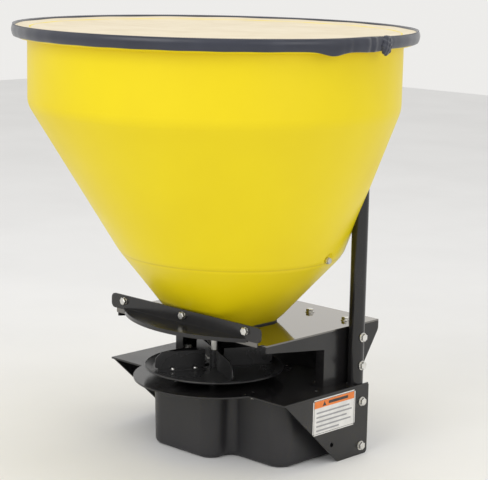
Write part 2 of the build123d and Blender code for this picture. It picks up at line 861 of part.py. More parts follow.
def motor_end_cap():
    """The cast cap that closes the motor and carries its lower bearing."""
    low = motor_low_z
    cap = rod(motor_x, motor_y, low, low + motor_wall * 2, motor_radius)
    cap += rod(motor_x, motor_y, low, low + motor_wall * 4, motor_radius - motor_wall - 0.2)
    return cap - rod(motor_x, motor_y, low + motor_wall, low + motor_wall * 5, motor_shaft_radius + run_gap)


def motor_rotor():
    """The armature on its shaft, with the commutator below."""
    shaft_low = motor_low_z + motor_wall + 0.5
    shaft = rod(motor_x, motor_y, shaft_low, gear_low_z + gear_width + 2, motor_shaft_radius)
    core_low = motor_low_z + motor_wall * 6
    core = rod(motor_x, motor_y, core_low + 10, case_low_z - motor_wall * 4, motor_radius * 0.62)
    return shaft + core + rod(motor_x, motor_y, core_low, core_low + 10, motor_radius * 0.34)


# ------------------------------------------------------------------ drive enclosure

def enclosure_outline(grow):
    """The stepped plan of the enclosure: one lobe under the spinner, one for the motor."""
    corners = [
        (enclosure_left_x, enclosure_front_y),
        (enclosure_step_x, enclosure_front_y),
        (enclosure_step_x, enclosure_step_y),
        (enclosure_right_x, enclosure_step_y),
        (enclosure_right_x, enclosure_rear_y),
        (enclosure_left_x, enclosure_rear_y),
    ]
    rounds = [36.0, 28.0, 18.0, 30.0, 22.0, 30.0]
    face = make_face(Polyline(*corners, close=True))
    for corner, radius in zip(corners, rounds):
        vertex = face.vertices().sort_by_distance((corner[0], corner[1], 0))[0]
        face = fillet(vertex, radius)
    return offset(face, grow) if grow else face


def enclosure_top_z():
    return shelf_bottom_z - enclosure_gasket_thickness


def drive_enclosure():
    """A deep moulded box with drafted walls and a flange under the shelf."""
    height = enclosure_top_z()
    spread = height * math.tan(math.radians(enclosure_draft))
    shell = extrude(enclosure_outline(0), height, taper=-enclosure_draft)
    shell = fillet(shell.edges().group_by(Axis.Z)[0], enclosure_bottom_round)
    flange = extrude(enclosure_outline(spread + enclosure_flange), enclosure_flange_thickness)
    shell += Pos(0, 0, height - enclosure_flange_thickness) * flange
    hollow = extrude(enclosure_outline(-enclosure_wall), height, taper=-enclosure_draft)
    shell -= Pos(0, 0, enclosure_wall) * hollow
    shell -= rod_along_y(gland_x(), enclosure_rear_y - enclosure_wall * 2, enclosure_rear_y + 20,
                         gland_z(), gland_radius() + press_gap)
    for x, y in enclosure_screw_places():
        shell -= rod(x, y, height - enclosure_flange_thickness - 1, height + 1, screw_radius + bolt_play)
    return shell


def enclosure_gasket():
    """A thin foam frame between the enclosure's flange and the shelf."""
    height = enclosure_top_z()
    spread = height * math.tan(math.radians(enclosure_draft))
    frame = extrude(enclosure_outline(spread + enclosure_flange), enclosure_gasket_thickness)
    frame -= Pos(0, 0, -1) * extrude(enclosure_outline(spread), enclosure_gasket_thickness + 2)
    frame = Pos(0, 0, height) * frame
    for x, y in enclosure_screw_places():
        frame -= rod(x, y, height - 1, height + 2, screw_radius + bolt_play)
    return frame


def enclosure_screw_places():
    """Screws stand midway across the flange."""
    spread = enclosure_top_z() * math.tan(math.radians(enclosure_draft)) + enclosure_flange / 2
    return [
        (enclosure_left_x - spread, drive_y),
        (enclosure_left_x - spread, enclosure_rear_y - 40),
        ((enclosure_left_x + enclosure_step_x) / 2, enclosure_front_y - spread),
        ((enclosure_step_x + enclosure_right_x) / 2, enclosure_step_y - spread),
        (enclosure_right_x + spread, (enclosure_step_y + enclosure_rear_y) / 2),
        ((enclosure_left_x + enclosure_right_x) / 2, enclosure_rear_y + spread),
    ]


def enclosure_screws():
    """Screws up through the flange and gasket into the shelf."""
    seat = enclosure_top_z() - enclosure_flange_thickness
    found = []
    for x, y in enclosure_screw_places():
        head = Pos(x, y, seat) * Rot(180, 0, 0) * hexagon(8.0, 3.6)
        found.append(head + rod(x, y, seat, shelf_top_z, screw_radius))
    return found


def gland_x():
    return (enclosure_left_x + enclosure_step_x) / 2


def gland_z():
    return enclosure_top_z() / 2


def gland_radius():
    return 8.0


def cable_gland():
    """The plastic gland in the rear wall where the power lead goes in."""
    face = enclosure_rear_y + gland_z() * math.tan(math.radians(enclosure_draft)) + 0.4
    turn = Rot(-90, 0, 0)
    body = Pos(gland_x(), face, gland_z()) * turn * hexagon(22.0, 6.0)
    body += rod_along_y(gland_x(), face + 6, face + 16, gland_z(), gland_radius() + 1.5)
    body += rod_along_y(gland_x(), face - 14, face, gland_z(), gland_radius())
    return body - rod_along_y(gland_x(), face - 15, face + 17, gland_z(), gland_radius() * 0.45)


os.makedirs("parts", exist_ok=True)

save("hopper", hopper())
save("hopper_gasket", hopper_gasket())
save("hopper_bolts", hopper_bolts())
save("hopper_nuts", hopper_nuts())
save("throat_liner", throat_liner())
save("baffle", baffle())
save("baffle_rod", baffle_rod())
save("baffle_nuts", baffle_nuts())
save("cover", cover())
save("cover_hem", cover_hem())
save("cover_tie", cover_tie())
save("deck", deck())
near_deck_side, far_deck_side = both_sides(deck_side())
save("near_deck_side", near_deck_side)
save("far_deck_side", far_deck_side)
save("back_panel", back_panel())
save("deck_bolts", deck_bolts())
save("deck_nuts", deck_nuts())
save("deflector", deflector())
save("deflector_bolts", deflector_bolts())
save("deflector_nuts", deflector_nuts())
save("shelf", shelf())
near_side_plate, far_side_plate = both_sides(side_plate())
save("near_side_plate", near_side_plate)
save("far_side_plate", far_side_plate)
save("shelf_bolts", shelf_bolts())
save("rear_plate", rear_plate())
save("safety_label", safety_label())
near_upright, far_upright = both_sides(upright())
save("near_upright", near_upright)
save("far_upright", far_upright)
save("tube_plugs", tube_plugs())
save("frame_bolts", frame_bolts())
save("frame_nuts", frame_nuts())
save("drive_shaft", drive_shaft())
save("agitator", agitator())
save("spinner_dish", spinner_dish())
save("spinner_fins", spinner_fins())
save("spinner_rivets", spinner_rivets())
save("spinner_hub", spinner_hub())
save("hub_pin", hub_pin())
save("shaft_seal", shaft_seal())
save("output_gear", output_gear())
save("idler_gear", idler_gear())
save("idler_pin", idler_pin())
save("motor_pinion", motor_pinion())
save("motor_rotor", motor_rotor())
save("motor_can", motor_can())
save("motor_end_cap", motor_end_cap())
save("gearbox_case", gearbox_case())
save("gearbox_cover", gearbox_cover())
save("upper_bearing", bearing(case_lid_z, shelf_bottom_z))
save("lower_bearing", bearing(case_low_z - 8, case_low_z + case_wall))
save("drive_enclosure", drive_enclosure())
save("enclosure_gasket", enclosure_gasket())
save("enclosure_screws", enclosure_screws())
save("cable_gland", cable_gland())
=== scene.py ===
import math

import bmesh
import bpy
from mathutils import Matrix, Vector


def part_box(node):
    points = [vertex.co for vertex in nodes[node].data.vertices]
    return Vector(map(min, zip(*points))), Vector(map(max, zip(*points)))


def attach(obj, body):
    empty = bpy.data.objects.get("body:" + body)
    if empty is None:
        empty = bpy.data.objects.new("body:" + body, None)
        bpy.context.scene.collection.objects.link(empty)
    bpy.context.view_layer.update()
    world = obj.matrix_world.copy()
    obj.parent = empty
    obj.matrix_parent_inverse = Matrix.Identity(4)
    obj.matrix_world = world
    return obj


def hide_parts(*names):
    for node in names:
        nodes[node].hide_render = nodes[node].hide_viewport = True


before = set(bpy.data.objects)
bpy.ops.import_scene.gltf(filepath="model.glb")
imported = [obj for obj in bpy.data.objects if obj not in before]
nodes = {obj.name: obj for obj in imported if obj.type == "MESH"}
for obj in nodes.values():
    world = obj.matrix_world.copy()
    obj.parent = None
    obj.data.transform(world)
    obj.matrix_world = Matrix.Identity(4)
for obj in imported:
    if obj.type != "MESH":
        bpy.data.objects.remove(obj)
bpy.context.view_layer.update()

# ---------------------------------------------------------------- viewpoint
# The spreader is seen from its throwing side and its label side, from a little above its own
# height, with a long lens. The camera is turned slightly about its own axis, as a hand-held one is.

view_turn = math.radians(43.5)
view_lift = math.radians(10.7)
view_roll = math.radians(1.2)
view_distance = 2.9765
view_target = Vector((0.0, 0.0821, 0.374))

backward = Vector((
    math.sin(view_turn) * math.cos(view_lift),
    -math.cos(view_turn) * math.cos(view_lift),
    math.sin(view_lift),
))
level_right = Vector((math.cos(view_turn), math.sin(view_turn), 0.0))
level_up = backward.cross(level_right)
camera_right = level_right * math.cos(view_roll) + level_up * math.sin(view_roll)
camera_up = level_up * math.cos(view_roll) - level_right * math.sin(view_roll)
camera_data = bpy.data.cameras.new("camera")
camera_data.sensor_width = 36.0
camera_data.lens = 120.05
camera_data.clip_end = 50.0
camera = bpy.data.objects.new("camera", camera_data)
bpy.context.scene.collection.objects.link(camera)
pose = Matrix((camera_right, camera_up, backward)).transposed().to_4x4()
pose.translation = view_target + backward * view_distance
camera.matrix_world = pose
bpy.context.scene.camera = camera

# ---------------------------------------------------------------- black steel frame
# The shelf, deck, deflector, back panel and uprights are folded steel sheet and round tube. They are
# welded where they meet, then dipped and stoved in a glossy black enamel before they are bolted up.


def new_material(name):
    """A node material and its tree, with the shader ready."""
    material = bpy.data.materials.new(name)
    material.use_nodes = True
    return material, material.node_tree, material.node_tree.nodes["Principled BSDF"]


def add_node(tree, kind, **inputs):
    """A node with its unlinked inputs set by name, spaces written as underscores."""
    node = tree.nodes.new(kind)
    for key, value in inputs.items():
        node.inputs[key.replace("_", " ")].default_value = value
    return node


def object_noise(tree, scale, detail=4.0, rough=0.55, stretch=None):
    """Noise over the piece's own coordinates, and the socket that carries it."""
    place = tree.nodes.new("ShaderNodeTexCoord").outputs["Object"]
    if stretch:
        mapping = add_node(tree, "ShaderNodeMapping", Scale=stretch)
        tree.links.new(place, mapping.inputs["Vector"])
        place = mapping.outputs["Vector"]
    noise = add_node(tree, "ShaderNodeTexNoise", Scale=scale, Detail=detail, Roughness=rough)
    tree.links.new(place, noise.inputs["Vector"])
    return noise.outputs["Fac"]


def spread(tree, source, low, high, from_low=0.35, from_high=0.65):
    """A value moved into a new range."""
    node = add_node(tree, "ShaderNodeMapRange", From_Min=from_low, From_Max=from_high,
                    To_Min=low, To_Max=high)
    tree.links.new(source, node.inputs["Value"])
    return node.outputs["Result"]


def blend_colors(tree, factor, first, second):
    """A mix of two colours, each a fixed colour or a socket."""
    node = tree.nodes.new("ShaderNodeMix")
    node.data_type = "RGBA"
    tree.links.new(factor, node.inputs[0])
    for socket, value in ((node.inputs[6], first), (node.inputs[7], second)):
        if isinstance(value, bpy.types.NodeSocket):
            tree.links.new(value, socket)
        else:
            socket.default_value = (*value, 1.0)
    return node.outputs[2]


def roughen(tree, shader, height, distance, strength=1.0, edge=0.0):
    """Bump from a height, over softened edges where an edge radius is given."""
    bump = add_node(tree, "ShaderNodeBump", Strength=strength, Distance=distance)
    tree.links.new(height, bump.inputs["Height"])
    if edge:
        soft = add_node(tree, "ShaderNodeBevel", Radius=edge)
        tree.links.new(soft.outputs["Normal"], bump.inputs["Normal"])
    tree.links.new(bump.outputs["Normal"], shader.inputs["Normal"])


def enamel(name, color, dusty, gloss, dull, edge=0.0012):
    """Stoved enamel: fine orange peel, dust in patches and duller where it has been handled."""
    material, tree, shader = new_material(name)
    patches = object_noise(tree, 9.0, detail=6.0)
    specks = object_noise(tree, 260.0, detail=2.0)
    dust = spread(tree, patches, 0.0, 1.0, 0.45, 0.75)
    tree.links.new(blend_colors(tree, dust, color, dusty), shader.inputs["Base Color"])
    tree.links.new(spread(tree, patches, gloss, dull), shader.inputs["Roughness"])
    shader.inputs["Specular IOR Level"].default_value = 0.5
    roughen(tree, shader, specks, 0.00012, 0.35, edge)
    return material


black_enamel = enamel("black_enamel", (0.010, 0.0095, 0.010), (0.022, 0.021, 0.021), 0.15, 0.28)
deck_enamel = enamel("deck_enamel", (0.016, 0.015, 0.013), (0.026, 0.024, 0.021), 0.05, 0.10)
deck_coat = deck_enamel.node_tree.nodes["Principled BSDF"].inputs
deck_coat["Specular IOR Level"].default_value = 0.9
deck_coat["Coat Weight"].default_value = 1.0
deck_coat["Coat Roughness"].default_value = 0.04
deck_coat["Coat IOR"].default_value = 1.9
# The coat's warm tint is a painted reflection colour: it gives the black deck's gloss the beige cast of the
# yellow hopper and the pale surround that it reflects.
deck_coat["Coat Tint"].default_value = (1.0, 0.94, 0.84, 1.0)


def paint(material, *names):
    """Give whole nodes one material."""
    for name in names:
        mesh = nodes[name].data
        mesh.materials.clear()
        mesh.materials.append(material)


paint(black_enamel, "shelf", "near_side_plate", "far_side_plate", "back_panel", "rear_plate", "near_upright",
      "far_upright", "deflector", "near_deck_side", "far_deck_side")
paint(deck_enamel, "deck")

# ---------------------------------------------------------------- drive enclosure
# A deep box moulded in charcoal plastic with a fine spark texture, screwed under the shelf through
# a foam gasket. A plastic gland in its rear wall takes the power lead.


def moulded_plastic(name, color, worn, low, high, grain=700.0, depth=0.00018, edge=0.0):
    """Moulded plastic: a fine grain, faint flow marks and a scuffed skin."""
    material, tree, shader = new_material(name)
    flow = object_noise(tree, 6.0, detail=5.0)
    fine = object_noise(tree, grain, detail=3.0)
    tree.links.new(blend_colors(tree, spread(tree, flow, 0.0, 1.0), color, worn),
                   shader.inputs["Base Color"])
    tree.links.new(spread(tree, fine, low, high), shader.inputs["Roughness"])
    roughen(tree, shader, fine, depth, 0.5, edge)
    return material


charcoal_moulding = moulded_plastic("charcoal_moulding", (0.014, 0.014, 0.016), (0.022, 0.021, 0.023),
                                    0.36, 0.5, edge=0.001)
black_moulding = moulded_plastic("black_moulding", (0.02, 0.02, 0.02), (0.03, 0.03, 0.03), 0.35, 0.5)
paint(charcoal_moulding, "drive_enclosure")
paint(black_moulding, "cable_gland", "tube_plugs")

# ---------------------------------------------------------------- zinc fasteners
# Bright zinc-plated bolts, nuts and screws.


def plated_metal(name, color, shaded, low, high, stretch=None, grain=180.0, edge=0.0006):
    """Plated or brushed metal: uneven tone, fine scratches and soft corners."""
    material, tree, shader = new_material(name)
    tone = object_noise(tree, 45.0, detail=3.0)
    lines = object_noise(tree, grain, detail=4.0, stretch=stretch)
    tree.links.new(blend_colors(tree, spread(tree, tone, 0.0, 1.0), color, shaded),
                   shader.inputs["Base Color"])
    tree.links.new(spread(tree, lines, low, high), shader.inputs["Roughness"])
    shader.inputs["Metallic"].default_value = 1.0
    roughen(tree, shader, lines, 0.00008, 0.4, edge)
    return material


zinc_plate = plated_metal("zinc_plate", (0.78, 0.77, 0.74), (0.6, 0.59, 0.56), 0.22, 0.4)
brushed_stainless = plated_metal("brushed_stainless", (0.62, 0.61, 0.59), (0.5, 0.49, 0.47), 0.25, 0.42,
                                 stretch=(1, 1, 0.05))
oiled_steel = plated_metal("oiled_steel", (0.36, 0.35, 0.33), (0.25, 0.24, 0.22), 0.2, 0.35)
cast_alloy = plated_metal("cast_alloy", (0.5, 0.5, 0.5), (0.38, 0.38, 0.38), 0.45, 0.6)
paint(zinc_plate, "hopper_bolts", "hopper_nuts", "baffle_nuts", "deck_nuts", "deflector_nuts", "frame_nuts",
      "spinner_rivets", "hub_pin", "enclosure_screws")

# ---------------------------------------------------------------- bolts
# Hexagon bolts with plain washers hold the frame's folded sheets to the uprights, the deck to the back
# panel and the deflector to the deck. Zinc-plated steel, with chamfered heads and rolled shanks.


class Tree:
    """A geometry node tree built link by link, with named inputs that keep their socket identifiers."""

    def __init__(self, name):
        self.group = bpy.data.node_groups.new(name, "GeometryNodeTree")
        self.group.interface.new_socket("Geometry", in_out="INPUT", socket_type="NodeSocketGeometry")
        self.group.interface.new_socket("Geometry", in_out="OUTPUT", socket_type="NodeSocketGeometry")
        self.named = {}
        self.entry = None

    def size(self, name, kind="NodeSocketFloat"):
        """A named input of the tree."""
        socket = self.group.interface.new_socket(name, in_out="INPUT", socket_type=kind)
        self.named[name] = socket.identifier

    def start(self):
        self.entry = self.group.nodes.new("NodeGroupInput")
        return self.entry.outputs["Geometry"]

    def add(self, kind, **inputs):
        """A node with its inputs fixed or linked, spaces in their names written as underscores."""
        node = self.group.nodes.new(kind)
        for key, value in inputs.items():
            socket = node.inputs[key.replace("_", " ")]
            if isinstance(value, bpy.types.NodeSocket):
                self.group.links.new(value, socket)
            else:
                socket.default_value = value
        return node

    def math(self, operation, first, second):
        node = self.group.nodes.new("ShaderNodeMath")
        node.operation = operation
        for socket, value in zip(node.inputs, (first, second)):
            if isinstance(value, bpy.types.NodeSocket):
                self.group.links.new(value, socket)
            else:
                socket.default_value = value
        return node.outputs[0]

    def up(self, distance):
        return self.add("ShaderNodeCombineXYZ", Z=distance).outputs[0]

    def scatter(self, points, solid):
        """The solid on each point, its Z axis along the point's direction."""
        way = self.group.nodes.new("GeometryNodeInputNamedAttribute")
        way.data_type = "FLOAT_VECTOR"
        way.inputs["Name"].default_value = "way"
        turn = self.add("FunctionNodeAlignRotationToVector", Vector=way.outputs[0])
        turn.axis = "Z"
        spots = self.add("GeometryNodeInstanceOnPoints", Points=points, Instance=solid,
                         Rotation=turn.outputs[0])
        return spots.outputs[0]

    def end(self, geometry, material):
        """Realize Instances, Set Material and the output."""
        real = self.add("GeometryNodeRealizeInstances", Geometry=geometry)
        dressed = self.add("GeometryNodeSetMaterial", Geometry=real.outputs[0])
        dressed.inputs["Material"].default_value = material
        exit_node = self.group.nodes.new("NodeGroupOutput")
        self.group.links.new(dressed.outputs[0], exit_node.inputs[0])

    def make(self, name, points, ways, **sizes):
        """Run the tree on points with a direction each, and keep the result as a plain mesh."""
        seed_mesh = bpy.data.meshes.new(name + "_points")
        seed_mesh.from_pydata(points, [], [])
        way = seed_mesh.attributes.new("way", "FLOAT_VECTOR", "POINT")
        for index, direction in enumerate(ways):
            way.data[index].vector = direction
        seed = bpy.data.objects.new(name + "_points", seed_mesh)
        bpy.context.scene.collection.objects.link(seed)
        modifier = seed.modifiers.new("nodes", "NODES")
        modifier.node_group = self.group
        for key, value in sizes.items():
            modifier[self.named[key.replace("_", " ")]] = value
        bpy.context.view_layer.update()
        mesh = bpy.data.meshes.new_from_object(seed.evaluated_get(bpy.context.evaluated_depsgraph_get()))
        mesh.name = name
        bpy.data.objects.remove(seed)
        piece = bpy.data.objects.new(name, mesh)
        bpy.context.scene.collection.objects.link(piece)
        return piece


def bolt_tree():
    """A bolt on each point, its head along the point's direction."""
    tree = Tree("hexagon_bolt")
    for name in ("Head Corner", "Head Height", "Washer Radius", "Washer Height", "Shank Radius",
                 "Shank Length"):
        tree.size(name)
    points = tree.start()
    sizes = tree.entry.outputs
    parts = []

    def place(solid, height):
        moved = tree.add("GeometryNodeTransform", Geometry=solid.outputs["Mesh"],
                         Translation=tree.up(height))
        parts.append(moved.outputs[0])

    washer = tree.add("GeometryNodeMeshCylinder", Vertices=36, Radius=sizes["Washer Radius"],
                      Depth=sizes["Washer Height"])
    place(washer, tree.math("MULTIPLY", sizes["Washer Height"], 0.5))
    flats = tree.math("MULTIPLY", sizes["Head Height"], 0.8)
    prism = tree.add("GeometryNodeMeshCylinder", Vertices=6, Radius=sizes["Head Corner"], Depth=flats)
    place(prism, tree.math("ADD", sizes["Washer Height"], tree.math("MULTIPLY", flats, 0.5)))
    crown = tree.add("GeometryNodeMeshCone", Vertices=6, Radius_Bottom=sizes["Head Corner"],
                     Radius_Top=tree.math("MULTIPLY", sizes["Head Corner"], 0.8),
                     Depth=tree.math("MULTIPLY", sizes["Head Height"], 0.2))
    place(crown, tree.math("ADD", sizes["Washer Height"], flats))
    shank = tree.add("GeometryNodeMeshCylinder", Vertices=24, Radius=sizes["Shank Radius"],
                     Depth=sizes["Shank Length"])
    place(shank, tree.math("MULTIPLY", sizes["Shank Length"], -0.5))
    joined = tree.group.nodes.new("GeometryNodeJoinGeometry")
    for part in parts:
        tree.group.links.new(part, joined.inputs[0])
    tree.end(tree.scatter(points, joined.outputs[0]), zinc_plate)
    return tree


bolts = bolt_tree()
head_corner = 0.0127 / math.sqrt(3)
bolt_head_height = 0.0053
bolt_washer_height = 0.0015
bolt_shank_radius = 0.004
bolt_top = bolt_head_height + bolt_washer_height
wide_washer = 0.0085
narrow_washer = 0.007
tube_y = 0.166
skirt_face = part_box("near_side_plate")[1].x
leg_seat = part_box("frame_bolts")[1].x - 0.0098
frame_spots = [(side * skirt_face, tube_y, z) for side in (-1, 1) for z in (0.0168, 0.0998)]
frame_spots += [(side * leg_seat, tube_y, z) for side in (-1, 1) for z in (0.166, 0.218)]
frame_ways = [(side, 0, 0) for side in (-1, 1) for _ in range(2)] * 2
deck_top = 0.234
deck_spots = [(x, 0.192, deck_top) for x in (-0.155, -0.0686, 0.0686, 0.155)]
bar_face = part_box("deflector_bolts")[0].y + bolt_top
bar_spots = [(x, bar_face, 0.2565) for x in (-0.1536, 0.0, 0.1536)]
shelf_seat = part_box("shelf_bolts")[1].z - 0.0068
shelf_spots = [(side * 0.168, y, shelf_seat) for side in (-1, 1) for y in (0.109, 0.164)]
bolt_groups = {
    "frame_bolts": (frame_spots, frame_ways, wide_washer, 0.040),
    "deck_bolts": (deck_spots, [(0, 0, 1)] * 4, wide_washer, 0.014),
    "deflector_bolts": (bar_spots, [(0, -1, 0)] * 3, narrow_washer, 0.0095),
    "shelf_bolts": (shelf_spots, [(0, 0, 1)] * 4, wide_washer, 0.006),
}
for node_name, (spots, ways, washer_radius, shank_length) in bolt_groups.items():
    piece = bolts.make(node_name + "_plated", spots, ways, Head_Corner=head_corner,
                       Head_Height=bolt_head_height, Washer_Radius=washer_radius,
                       Washer_Height=bolt_washer_height, Shank_Radius=bolt_shank_radius,
                       Shank_Length=shank_length)
    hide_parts(node_name)
    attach(piece, "frame")
paint(brushed_stainless, "baffle", "baffle_rod", "drive_shaft", "agitator")
paint(oiled_steel, "output_gear", "idler_gear", "idler_pin", "motor_pinion", "motor_rotor", "upper_bearing",
      "lower_bearing")
paint(cast_alloy, "motor_end_cap", "gearbox_case", "gearbox_cover")
motor_paint = enamel("motor_paint", (0.04, 0.04, 0.045), (0.06, 0.06, 0.06), 0.3, 0.5)
spinner_coat = enamel("spinner_coat", (0.02, 0.02, 0.021), (0.05, 0.05, 0.05), 0.25, 0.4)
paint(motor_paint, "motor_can")
paint(spinner_coat, "spinner_dish", "spinner_fins", "spinner_hub")
soft_rubber = moulded_plastic("soft_rubber", (0.02, 0.02, 0.02), (0.03, 0.03, 0.03), 0.6, 0.8)
paint(soft_rubber, "shaft_seal", "hopper_gasket", "enclosure_gasket")
natural_moulding = moulded_plastic("natural_moulding", (0.5, 0.49, 0.45), (0.42, 0.41, 0.38), 0.4, 0.55)
paint(natural_moulding, "throat_liner")

# ---------------------------------------------------------------- safety label
# A white vinyl label stuck to the near side plate, printed with an orange band, a plain sign and grey
# bars. It carries no letters.


def printed_patch(mesh, corners, face_x, lift, ink):
    """A flat printed shape on the label, given as y and z corners anticlockwise from outside."""
    start = [mesh.verts.new((face_x + lift, y, z)) for y, z in corners]
    face = mesh.faces.new(start)
    face.material_index = ink


def ink_material(name, color, rough):
    """Printed vinyl: slightly uneven ink over a fine grain."""
    material, tree, shader = new_material(name)
    uneven = object_noise(tree, 60.0, detail=5.0)
    soiled = tuple(channel * 0.86 for channel in color)
    tree.links.new(blend_colors(tree, spread(tree, uneven, 0.0, 1.0), color, soiled),
                   shader.inputs["Base Color"])
    tree.links.new(spread(tree, uneven, rough, rough + 0.12), shader.inputs["Roughness"])
    roughen(tree, shader, object_noise(tree, 500.0), 0.00005, 0.3)
    return material


label_low, label_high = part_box("safety_label")
label_mesh = bmesh.new()
bmesh.ops.create_cube(label_mesh, size=1.0)
for vertex in label_mesh.verts:
    vertex.co = Vector((
        label_low.x if vertex.co.x < 0 else label_high.x,
        label_low.y if vertex.co.y < 0 else label_high.y,
        label_low.z if vertex.co.z < 0 else label_high.z,
    ))
corner_edges = [edge for edge in label_mesh.edges if abs(edge.verts[0].co.x - edge.verts[1].co.x) > 1e-4]
bmesh.ops.bevel(label_mesh, geom=corner_edges, offset=0.003, segments=5, affect="EDGES")
label_width = label_high.y - label_low.y
label_height = label_high.z - label_low.z


def label_bar(left, right, low, high, ink, lift=0.00005):
    """A printed bar given as shares of the label's width and height."""
    y0 = label_low.y + left * label_width
    y1 = label_low.y + right * label_width
    z0 = label_low.z + low * label_height
    z1 = label_low.z + high * label_height
    printed_patch(label_mesh, [(y0, z0), (y1, z0), (y1, z1), (y0, z1)], label_high.x, lift, ink)


thin_rule = 0.008
label_bar(0.02, 0.98, 0.03, 0.03 + thin_rule * 1.5, 2)
label_bar(0.02, 0.98, 0.97 - thin_rule * 1.5, 0.97, 2)
label_bar(0.02, 0.02 + thin_rule, 0.03, 0.97, 2)
label_bar(0.98 - thin_rule, 0.98, 0.03, 0.97, 2)
label_bar(0.03, 0.97, 0.76, 0.955, 1)
sign_y = label_low.y + 0.26 * label_width
sign_z = label_low.z + 0.79 * label_height
sign_size = 0.13 * label_height
printed_patch(label_mesh, [(sign_y - sign_size * 0.6, sign_z), (sign_y + sign_size * 0.6, sign_z),
                           (sign_y, sign_z + sign_size)], label_high.x, 0.0001, 2)
label_bar(0.36, 0.82, 0.82, 0.90, 2, 0.0001)
for row, reach in enumerate((0.86, 0.92, 0.80, 0.9, 0.62)):
    row_low = 0.60 - row * 0.125
    label_bar(0.08, reach, row_low, row_low + 0.045, 3)
label_body = bpy.data.meshes.new("label_print")
label_mesh.to_mesh(label_body)
label_mesh.free()
label_print = bpy.data.objects.new("label_print", label_body)
bpy.context.scene.collection.objects.link(label_print)
for ink_name, ink_color, ink_rough in (
    ("label_white", (0.78, 0.77, 0.75), 0.3),
    ("label_orange", (0.85, 0.22, 0.03), 0.3),
    ("label_black", (0.03, 0.03, 0.03), 0.35),
    ("label_grey", (0.34, 0.34, 0.35), 0.35),
):
    label_body.materials.append(ink_material(ink_name, ink_color, ink_rough))
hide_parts("safety_label")
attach(label_print, "frame")

# ---------------------------------------------------------------- hopper
# One rotationally moulded shell of yellow polyethylene: a straight band under a rolled lip, a long
# cone, a soft fold, and a lower cone that eases to a rounded rectangle where it stands on the deck.

hopper_low, hopper_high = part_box("hopper")
sides = 320
wall = 0.008
band_radius = 0.328
crease_height = 0.628
fold_radius = 0.2036
fold_height = 0.3615
fold_center = 0.0487
foot_half_width = 0.095
foot_half_depth = 0.08325
foot_center = 0.03625
foot_corner = 0.045
foot_height = 0.249
foot_turn = 0.013
floor_height = 0.243
throat_bore = 0.0333
throat_y = 0.010


def round_ring(height, center, radius):
    """Points round a level circle, from its +X side."""
    turns = [2 * math.pi * side / sides for side in range(sides)]
    return [Vector((radius * math.cos(turn), center + radius * math.sin(turn), height)) for turn in turns]


def foot_ring(height, grow):
    """Points round the foot's rounded rectangle, evenly spaced, from its +X side."""
    half_width = foot_half_width + grow
    half_depth = foot_half_depth + grow
    corner = foot_corner + grow
    path = [Vector((half_width, 0.0))]
    for x_sign, y_sign, first in ((1, 1, 0.0), (-1, 1, 0.5), (-1, -1, 1.0), (1, -1, 1.5)):
        for step in range(25):
            turn = math.pi * (first + 0.5 * step / 24)
            path.append(Vector((x_sign * (half_width - corner) + corner * math.cos(turn),
                                y_sign * (half_depth - corner) + corner * math.sin(turn))))
    path.append(path[0].copy())
    lengths = [0.0]
    for first, second in zip(path, path[1:]):
        lengths.append(lengths[-1] + (second - first).length)
    ring = []
    leg = 0
    for side in range(sides):
        goal = lengths[-1] * side / sides
        while lengths[leg + 1] < goal:
            leg += 1
        run = max(lengths[leg + 1] - lengths[leg], 1e-9)
        point = path[leg].lerp(path[leg + 1], (goal - lengths[leg]) / run)
        ring.append(Vector((point.x, foot_center + point.y, height)))
    return ring


def between(first, second, part):
    return [a.lerp(b, part) for a, b in zip(first, second)]


def eased(sections, softness, row_height):
    """Rings through the sections, with each inner one rounded off."""
    smooth = [sections[0]]
    for before, corner, after in zip(sections, sections[1:], sections[2:]):
        start = between(corner, before, softness / abs(before[0].z - corner[0].z))
        end = between(corner, after, softness / abs(after[0].z - corner[0].z))
        for step in range(9):
            part = step / 8
            smooth.append(between(between(start, corner, part), between(corner, end, part), part))
    smooth.append(sections[-1])
    filled = []
    for first, second in zip(smooth, smooth[1:]):
        count = max(1, round(abs(second[0].z - first[0].z) / row_height))
        filled += [between(first, second, step / count) for step in range(count)]
    filled.append(smooth[-1])
    return filled


def skin_mesh(name, rings, closed=False):
    """A smooth skin over rings of equal count. A closed one joins its last ring to its first."""
    mesh = bpy.data.meshes.new(name)
    count = len(rings)
    width = len(rings[0])
    faces = []
    for row in range(count if closed else count - 1):
        upper = (row + 1) % count
        for side in range(width):
            after = (side + 1) % width
            faces.append((row * width + side, row * width + after,
                          upper * width + after, upper * width + side))
    mesh.from_pydata([point for ring in rings for point in ring], [], faces)
    mesh.polygons.foreach_set("use_smooth", [True] * len(faces))
    piece = bpy.data.objects.new(name, mesh)
    bpy.context.scene.collection.objects.link(piece)
    return piece


lip_thickness = 0.018
lip_round = 0.007
lip_low = hopper_high.z - lip_thickness
lip_core = 0.342
outer = eased([
    foot_ring(foot_height, 0.0),
    round_ring(fold_height, fold_center, fold_radius),
    round_ring(crease_height, 0.0, band_radius),
    round_ring(lip_low, 0.0, band_radius),
], 0.011, 0.012)
groove_depth = 0.0007
for ring in outer:
    depth = groove_depth * max(0.0, 1 - abs(ring[0].z - fold_height) / 0.002)
    for point in ring:
        point.xy -= (point.xy - Vector((0.0, fold_center))).normalized() * depth
foot_slope = (fold_radius - foot_half_width) / (fold_height - foot_height)
floor_shrink = wall + foot_slope * (foot_height - floor_height)
inner = eased([
    foot_ring(floor_height, -floor_shrink),
    round_ring(fold_height, fold_center, fold_radius - wall),
    round_ring(crease_height, 0.0, band_radius - wall),
    round_ring(hopper_high.z - 0.003, 0.0, band_radius - wall),
], 0.011, 0.03)
lip = [round_ring(lip_low, 0, band_radius + 0.003), round_ring(lip_low, 0, lip_core)]
for step in range(1, 9):
    turn = -math.pi / 2 + math.pi * step / 8
    lip.append(round_ring(lip_low + lip_thickness / 2 * (1 + math.sin(turn)), 0,
                          lip_core + lip_round * math.cos(turn)))
